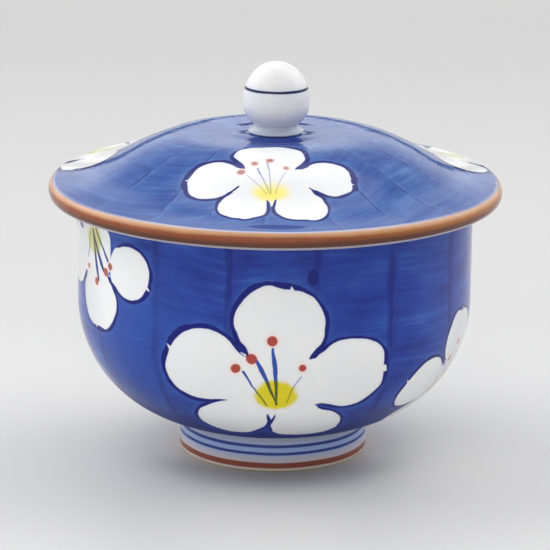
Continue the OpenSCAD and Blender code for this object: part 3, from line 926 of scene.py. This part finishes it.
# the lid's section: a flat crown, a shoulder of radius 20.5 about (19, SHOULDER_Z), a dome of radius 40 about
# (DOME_R, DOME_Z), a hollow brim of radius 36 about (BRIM_R, BRIM_Z) and a rolled edge, an oval about (50.4, EDGE_Z)
CROWN_Z, SHOULDER_Z, DOME_R, DOME_Z = 74.4771, 53.9771, 14.0188, 35.1241
BRIM_R, BRIM_Z, EDGE_Z = 54.2631, 99.5942, 61.7521
SHOULDER, TURN, EDGE = 14.8, 31.9737, 6.1601


def eased(points, passes):
    """The same line with its curvature evened out; its ends stay."""
    for _ in range(passes):
        points = [points[0]] + [
            tuple((a + 2 * b + c) / 4 for a, b, c in zip(points[i - 1], points[i], points[i + 1]))
            for i in range(1, len(points) - 1)
        ] + [points[-1]]
    return points


def make_lid():
    crown = line(0, CROWN_Z, 5.0, CROWN_Z, 5)
    # over the crown, the shoulder and the dome, and down the brim
    top = line(5.0, CROWN_Z, 19, CROWN_Z, 20)
    top += arc(19, SHOULDER_Z, 20.5, 0, SHOULDER, 9)[1:]
    top += arc(DOME_R, DOME_Z, 40, SHOULDER, TURN, 24)[1:]
    top += arc(BRIM_R, BRIM_Z, 36, 180 + TURN, 180 + EDGE, 34)[1:]
    top = eased(top, 30)
    # a little glaze stands against the knob
    top = [(r, z + 0.06 * max(0.0, min(1.0, (8.2 - r) / 2.2)) ** 2 * min(1.0, (r - 5.0) / 0.5)) for r, z in top]
    edge = [top[-1]]
    for i in range(30):
        a = math.radians(10 + 240 * i / 29)
        edge.append((50.4 + 1.6 * math.sin(a), EDGE_Z + 2.05 * math.cos(a)))
    under = math.degrees(math.asin((BRIM_R - 48.7) / 38.9))
    brim_in = [edge[-1]] + arc(BRIM_R, BRIM_Z, 38.9, 180 + under, 180 + TURN, 26)
    dome_in = arc(DOME_R, DOME_Z, 37.1, TURN, SHOULDER, 24) + arc(19, SHOULDER_Z, 17.6, SHOULDER, 0, 8)[1:]
    crown_in = line(19, CROWN_Z - 2.9, 0, CROWN_Z - 2.9, 4)
    strips = [(0, crown), (0, top), (0, edge), (1, brim_in), (1, dome_in), (1, crown_in)]
    # the section runs over the top and back below, so it is turned to face outwards
    lens = [length(p) for _, p in strips]
    strips = [(m, p[::-1]) for m, p in strips[::-1]]
    before = [0, lens[0], sum(lens[:2])]
    over = sum(lens[:3])
    under = sum(lens[3:])

    def uv(k, t, d, mid):
        k = 5 - k
        d = lens[k] - d
        if k < 3:
            return disc(0.45, 0.45, 0.44 / over, before[k] + d, t)
        d += sum(lens[3:k])
        return disc(0.85, 0.85, 0.142 / under, under - d, t)

    ob = lathe("lid_shell_glazed", strips, 288, uv)
    ob.data.materials.append(lid_material())
    ob.data.materials.append(white_material("lid_inside_glaze"))
    return ob


def make_flange():
    def under(r):
        return BRIM_Z - math.sqrt(38.9**2 - (BRIM_R - r) ** 2)

    top = [(r, under(r) + 0.02) for r in (38.8, 39.4, 40.1, 40.9, 41.6, 42.2)]
    out = []
    for i in range(1, 7):
        a = math.radians(90 * i / 6)
        out.append((42.2 - 0.6 * math.sin(a), under(42.2) - 0.6 * (1 - math.cos(a))))
    out += line(41.6, out[-1][1], 41.6, 57.9, 8)[1:]
    out += arc(40.9, 57.9, 0.7, 90, 180, 8)[1:]
    out += line(40.9, 57.2, 40.1, 57.2, 2)[1:]
    out += arc(40.1, 57.9, 0.7, 180, 270, 8)[1:]
    z = under(38.8) - 0.6
    out += line(39.4, 57.9, 39.4, z, 8)[1:]
    for i in range(1, 6):
        a = math.radians(90 * i / 6)
        out.append((38.8 + 0.6 * math.cos(a), z + 0.6 * math.sin(a)))
    profile = (top + out)[::-1]
    profile.append(profile[0])
    total = length(profile)

    def uv(k, t, d, mid):
        return (0.01 + 0.98 * t, 0.02 + 0.96 * d / total)

    ob = lathe("lid_flange_glazed", [(0, profile)], 192, uv, loop=True)
    ob.data.materials.append(white_material("flange_glaze_white"))
    return ob


def make_knob():
    base, mid_z = CROWN_Z, CROWN_Z + 7.0
    pts = line(0, base, 5.4, base, 4) + [(5.9, base + 0.08), (6.2, base + 0.26)]
    neck_r, neck_z = 7.7 * math.cos(math.radians(50)), mid_z - 6.6 * math.sin(math.radians(50))
    flare = [(6.3, base + 0.45)]
    for i in range(15):
        a = math.radians(90 * i / 14)
        flare.append((6.3 - (6.3 - neck_r) * math.sin(a), base + 0.6 + (neck_z - base - 0.6) * (1 - math.cos(a))))
    pts += flare
    # ease the flare into the bulb, whose top is a little fuller than an ellipse
    lower = [(7.7 * math.cos(math.radians(a)), mid_z + 6.6 * math.sin(math.radians(a))) for a in range(-47, 0, 3)]
    upper = []
    for i in range(32):
        a = math.radians(90 * i / 32)
        upper.append((7.7 * math.cos(a) ** 0.95, mid_z + 9.4 * math.sin(a) ** 0.95))
    pts += lower + upper
    pts.append((0.0, mid_z + 9.4))
    total = length(pts)

    def uv(k, t, d, mid):
        return (0.01 + 0.98 * t, 0.02 + 0.96 * d / total)

    ob = lathe("lid_knob_glazed", [(0, pts)], 128, uv)
    ob.data.materials.append(knob_material())
    return ob


# ---------------------------------------------------------------- the object

for make, node, body, slot in (
    (make_cup, "cup_body", "cup", "cup_glaze"),
    (make_foot, "foot_ring", "cup", "foot_glaze"),
    (make_lid, "lid_shell", "lid", "lid_glaze"),
    (make_flange, "lid_flange", "lid", "flange_glaze"),
    (make_knob, "lid_knob", "lid", "knob_glaze"),
):
    piece = make()
    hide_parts(node)
    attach(piece, body)


# ---------------------------------------------------------------- floor, light and camera


def make_floor():
    half = 6.0
    me = bpy.data.meshes.new("floor")
    me.from_pydata([(-half, -half, 0), (half, -half, 0), (half, half, 0), (-half, half, 0)], [], [(0, 1, 2, 3)])
    ob = bpy.data.objects.new("floor", me)
    bpy.context.scene.collection.objects.link(ob)
    m, net, shader = new_material("floor_paper")
    tex = net.node("ShaderNodeTexCoord")
    where = Val(net, tex.outputs["Object"])
    n = net.noise(where, 3.0, 2.0)
    fx, fy = (q * 1000.0 for q in net.parts(where)[:2])
    c = net.mix(n, linear(214, 214, 214), linear(216, 216, 216))
    # painted falloff of the light: the floor is painted darker towards the back
    c = net.mix(net.rise(0.0, 120.0, fy), c, linear(204, 204, 204))
    c = net.mix(net.rise(120.0, 560.0, fy), c, linear(186, 186, 186))
    # painted shadow: a little darker in front of the foot, where the object stands between the eye and the light
    c = net.mix(net.fall(25.0, 38.0, net.length(fx, fy)) * net.rise(8.0, 20.0, fy * -1.0), c, linear(190, 190, 190))
    net.put(shader.inputs["Base Color"], c)
    shader.inputs["Roughness"].default_value = 0.45
    shader.inputs["Specular IOR Level"].default_value = 0.4
    me.materials.append(m)


# soft panels round the object: middle of the panel (degrees, 0 behind, right positive) and half its width,
# lower and upper edge (degrees above the table), softness of the sides and of both edges, brightness
PANELS = (
    (0, 40, 5, 22, 10, 1, 12, 1.24),
    (0, 40, 22, 48, 10, 12, 8, 0.75),
    (-68, 28, 5, 20, 10, 1, 8, 1.16),
    (-68, 28, 20, 48, 10, 8, 8, 3.07),
    (68, 28, 5, 20, 10, 1, 8, 1.02),
    (68, 28, 20, 48, 10, 8, 8, 2.68),
    (0, 96, 48, 66, 10, 8, 8, 2.25),
    (180, 84, 48, 66, 10, 8, 8, 1.36),
    (0, 400, 66, 120, 10, 8, 8, 0.59),
    (-125, 29, 5, 20, 10, 3, 8, 1.13),
    (-125, 29, 20, 34, 10, 8, 8, 0.27),
    (-125, 29, 34, 48, 10, 8, 8, 1.09),
    (125, 29, 5, 20, 10, 3, 8, 0.10),
    (125, 29, 20, 34, 10, 8, 8, 0.10),
    (125, 29, 34, 48, 10, 8, 8, 0.28),
    (180, 26, 5, 20, 10, 3, 8, 1.72),
    (180, 26, 20, 34, 10, 8, 8, 0.80),
    (180, 26, 34, 48, 10, 8, 8, 0.10),
)


def make_light():
    world = bpy.data.worlds.new("studio")
    world.use_nodes = True
    net = Net(world.node_tree)
    net.tree.nodes.clear()
    tex = net.node("ShaderNodeTexCoord")
    dx, dy, dz = net.parts(Val(net, tex.outputs["Generated"]))
    up = net.math("ARCSINE", dz) * (360 / TAU)
    az = net.math("ARCTAN2", dx, dy) * (360 / TAU)
    # as bright as the table down to its far edge, with a dim gap above that straight behind the object
    level = net.rise(-2.5, -1.5, up) * net.fall(4.5, 5.5, up) * 0.90
    gap = net.fall(20.0, 38.0, net.math("ABSOLUTE", az)) * net.rise(3.6, 4.8, up) * net.fall(7.8, 9.4, up)
    for mid, half, low, high, side, soft_low, soft_high, bright in PANELS:
        f = net.rise(low - soft_low / 2, low + soft_low / 2, up) * net.fall(high - soft_high / 2, high + soft_high / 2, up)
        if half < 360:
            off = net.math("ABSOLUTE", net.math("WRAP", az - mid, 180.0, -180.0))
            f = f * net.fall(half - side / 2, half + side / 2, off)
        level = net.madd(f, bright, level)
    level = level * net.madd(gap, -0.9, 1.0)
    bg = net.node("ShaderNodeBackground")
    net.put(bg.inputs["Color"], net.vec(level, level, level))
    bg.inputs["Strength"].default_value = 1.0
    out = net.node("ShaderNodeOutputWorld")
    net.tree.links.new(bg.outputs[0], out.inputs[0])
    bpy.context.scene.world = world


def make_camera():
    data = bpy.data.cameras.new("camera")
    data.sensor_fit = "HORIZONTAL"
    data.sensor_width = 36.0
    data.lens = 198.33
    data.clip_start, data.clip_end = 0.01, 50.0
    data.dof.use_dof = False
    ob = bpy.data.objects.new("camera", data)
    bpy.context.scene.collection.objects.link(ob)
    e = math.radians(14.748)
    basis = Matrix((
        (1, 0, 0),
        (0, math.sin(e), -math.cos(e)),
        (0, math.cos(e), math.sin(e)),
    )).to_4x4()
    eye = Vector((0, 0, 0.045)) - 0.7 * Vector((0, math.cos(e), -math.sin(e)))
    ob.matrix_world = (
        Matrix.Translation(eye)
        @ basis
        @ Matrix.Rotation(math.radians(0.609), 4, "Z")
        @ Matrix.Rotation(math.radians(-0.3426), 4, "X")
        @ Matrix.Rotation(math.radians(-0.0074), 4, "Y")
    )
    bpy.context.scene.camera = ob


make_floor()
make_light()
make_camera()
view = bpy.context.scene.view_settings
view.view_transform = "Standard"
view.look = "None"
